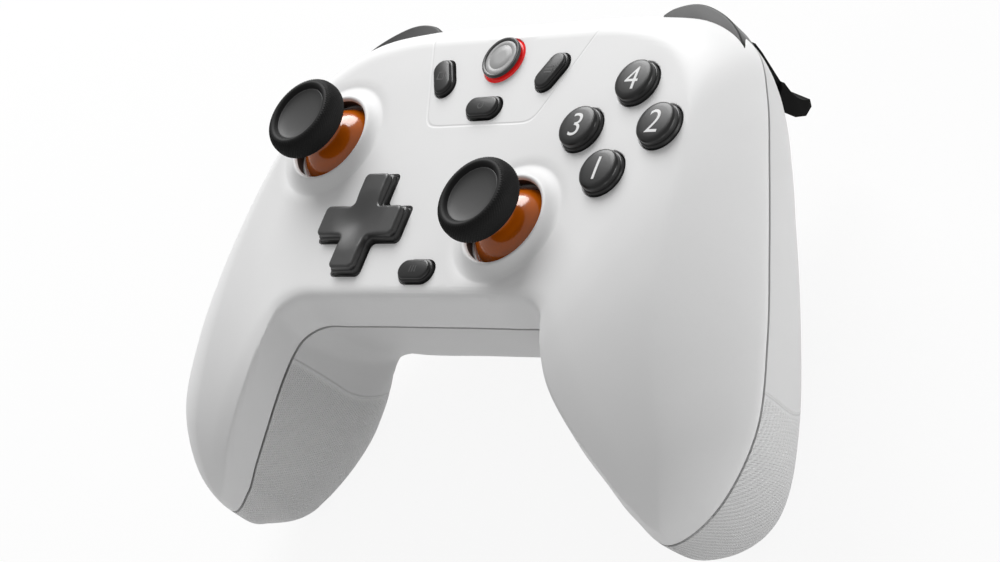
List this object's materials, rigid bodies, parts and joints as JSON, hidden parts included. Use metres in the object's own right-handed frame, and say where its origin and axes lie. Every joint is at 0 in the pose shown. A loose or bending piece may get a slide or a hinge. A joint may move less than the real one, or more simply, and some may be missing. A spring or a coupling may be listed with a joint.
{
  "type": "gamepad controller",
  "caption": "Two-handed gamepad with offset thumbsticks, a cross pad, round face buttons, bumpers and triggers in a two-shell white body with a grip on each side.",
  "frame": {"origin": "centre of the bounding box in plan, at the level of the backs of the grips", "axes": "+Z out of the face with the pad on its back, +Y away from the player, +X to the right"},
  "size_m": [0.155, 0.1037, 0.0604],
  "materials": {
    "shell_white": "fine matte, moulded",
    "shell_back": "matte with a fine dotted grip texture",
    "cap_rubber": "matte rubber",
    "stem_orange": "glossy orange plastic",
    "button_black": "glossy black plastic",
    "home_grey": "satin dark grey",
    "light_red": "translucent red light guide",
    "bumper_grey": "glossy dark grey",
    "trigger_black": "black",
    "mat_rubber": "grey silicone",
    "board_green": "coated circuit board",
    "mechanism_plastic": "dark grey moulded plastic",
    "weight_brass": "turned",
    "battery_wrap": "film wrapped pack",
    "steel": "plain"
  },
  "bodies": {
    "housing": {"front_shell": "shell_white", "rear_shell": "shell_back", "main_board": "board_green", "left_stick_base": "mechanism_plastic", "right_stick_base": "mechanism_plastic", "cross_base": "mechanism_plastic", "button_mat": "mat_rubber", "cross_mat": "mat_rubber", "home_light_ring": "light_red", "click_switches": "steel", "trigger_pins": "steel", "right_motor": "steel", "left_motor": "steel", "battery": "battery_wrap", "charge_socket": "steel", "shell_screws": "steel"},
    "left_stick_yoke": {"left_yoke": "mechanism_plastic"},
    "left_stick_shaft": {"left_shaft": "mechanism_plastic"},
    "left_stick": {"left_stem": "stem_orange", "left_cap": "cap_rubber"},
    "right_stick_yoke": {"right_yoke": "mechanism_plastic"},
    "right_stick_shaft": {"right_shaft": "mechanism_plastic"},
    "right_stick": {"right_stem": "stem_orange", "right_cap": "cap_rubber"},
    "cross_pad_pivot": {"cross_pivot": "mechanism_plastic"},
    "cross_pad": {"cross_pad": "button_black"},
    "button_1": {"button_1": "button_black"},
    "button_2": {"button_2": "button_black"},
    "button_3": {"button_3": "button_black"},
    "button_4": {"button_4": "button_black"},
    "home_button": {"home_button": "home_grey"},
    "view_button": {"view_button": "button_black"},
    "menu_button": {"menu_button": "button_black"},
    "share_button": {"share_button": "button_black"},
    "mode_button": {"mode_button": "button_black"},
    "right_bumper": {"right_bumper": "bumper_grey"},
    "right_trigger": {"right_trigger": "trigger_black"},
    "right_weight": {"right_weight": "weight_brass"},
    "left_bumper": {"left_bumper": "bumper_grey"},
    "left_trigger": {"left_trigger": "trigger_black"},
    "left_weight": {"left_weight": "weight_brass"}
  },
  "joints": [
    {"name": "left_stick_forward", "type": "hinge", "parent": "housing", "child": "left_stick_yoke", "pos_m": [-0.04037, 0.01919, 0.0419], "axis": [1, 0, 0], "range_deg": [-18, 18], "stiffness_Nm_per_rad": 0.06},
    {"name": "left_stick_sideways", "type": "hinge", "parent": "left_stick_yoke", "child": "left_stick_shaft", "pos_m": [-0.04037, 0.01919, 0.0419], "axis": [0, 1, 0], "range_deg": [-18, 18], "stiffness_Nm_per_rad": 0.06},
    {"name": "left_stick_click", "type": "slide", "parent": "left_stick_shaft", "child": "left_stick", "axis": [0, 0, -1], "range_m": [0, 0.0005], "stiffness_N_per_m": 900},
    {"name": "right_stick_forward", "type": "hinge", "parent": "housing", "child": "right_stick_yoke", "pos_m": [0.01869, -0.00095, 0.0419], "axis": [1, 0, 0], "range_deg": [-18, 18], "stiffness_Nm_per_rad": 0.06},
    {"name": "right_stick_sideways", "type": "hinge", "parent": "right_stick_yoke", "child": "right_stick_shaft", "pos_m": [0.01869, -0.00095, 0.0419], "axis": [0, 1, 0], "range_deg": [-18, 18], "stiffness_Nm_per_rad": 0.06},
    {"name": "right_stick_click", "type": "slide", "parent": "right_stick_shaft", "child": "right_stick", "axis": [0, 0, -1], "range_m": [0, 0.0005], "stiffness_N_per_m": 900},
    {"name": "cross_pad_forward", "type": "hinge", "parent": "housing", "child": "cross_pad_pivot", "pos_m": [-0.02008, -0.00095, 0.0459], "axis": [1, 0, 0], "range_deg": [-4.5, 4.5], "stiffness_Nm_per_rad": 0.08},
    {"name": "cross_pad_sideways", "type": "hinge", "parent": "cross_pad_pivot", "child": "cross_pad", "pos_m": [-0.02008, -0.00095, 0.0459], "axis": [0, 1, 0], "range_deg": [-4.5, 4.5], "stiffness_Nm_per_rad": 0.08},
    {"name": "button_1_press", "type": "slide", "parent": "housing", "child": "button_1", "axis": [0, 0, -1], "range_m": [0, 0.0015], "stiffness_N_per_m": 250},
    {"name": "button_2_press", "type": "slide", "parent": "housing", "child": "button_2", "axis": [0, 0, -1], "range_m": [0, 0.0015], "stiffness_N_per_m": 250},
    {"name": "button_3_press", "type": "slide", "parent": "housing", "child": "button_3", "axis": [0, 0, -1], "range_m": [0, 0.0015], "stiffness_N_per_m": 250},
    {"name": "button_4_press", "type": "slide", "parent": "housing", "child": "button_4", "axis": [0, 0, -1], "range_m": [0, 0.0015], "stiffness_N_per_m": 250},
    {"name": "home_press", "type": "slide", "parent": "housing", "child": "home_button", "axis": [0, 0, -1], "range_m": [0, 0.0005], "stiffness_N_per_m": 500},
    {"name": "view_press", "type": "slide", "parent": "housing", "child": "view_button", "axis": [0, 0, -1], "range_m": [0, 0.0005], "stiffness_N_per_m": 500},
    {"name": "menu_press", "type": "slide", "parent": "housing", "child": "menu_button", "axis": [0, 0, -1], "range_m": [0, 0.0005], "stiffness_N_per_m": 500},
    {"name": "share_press", "type": "slide", "parent": "housing", "child": "share_button", "axis": [0, 0, -1], "range_m": [0, 0.0005], "stiffness_N_per_m": 500},
    {"name": "mode_press", "type": "slide", "parent": "housing", "child": "mode_button", "axis": [0, 0, -1], "range_m": [0, 0.0005], "stiffness_N_per_m": 500},
    {"name": "right_bumper_press", "type": "hinge", "parent": "housing", "child": "right_bumper", "pos_m": [0.0317, 0.04465, 0.0399], "axis": [0, 0, -1], "range_deg": [0, 3.5], "stiffness_Nm_per_rad": 0.3},
    {"name": "right_trigger_pull", "type": "hinge", "parent": "housing", "child": "right_trigger", "pos_m": [0.0415, 0.03905, 0.0323], "axis": [-1, 0, 0], "range_deg": [0, 16], "stiffness_Nm_per_rad": 0.05},
    {"name": "right_rumble_spin", "type": "hinge", "parent": "housing", "child": "right_weight", "pos_m": [0.05745, -0.02098, 0.0209], "axis": [0, 1, 0], "continuous": true},
    {"name": "left_bumper_press", "type": "hinge", "parent": "housing", "child": "left_bumper", "pos_m": [-0.0317, 0.04465, 0.0399], "axis": [0, 0, 1], "range_deg": [0, 3.5], "stiffness_Nm_per_rad": 0.3},
    {"name": "left_trigger_pull", "type": "hinge", "parent": "housing", "child": "left_trigger", "pos_m": [-0.0415, 0.03905, 0.0323], "axis": [-1, 0, 0], "range_deg": [0, 16], "stiffness_Nm_per_rad": 0.05},
    {"name": "left_rumble_spin", "type": "hinge", "parent": "housing", "child": "left_weight", "pos_m": [-0.05745, -0.02098, 0.0209], "axis": [0, 1, 0], "continuous": true}
  ]
}
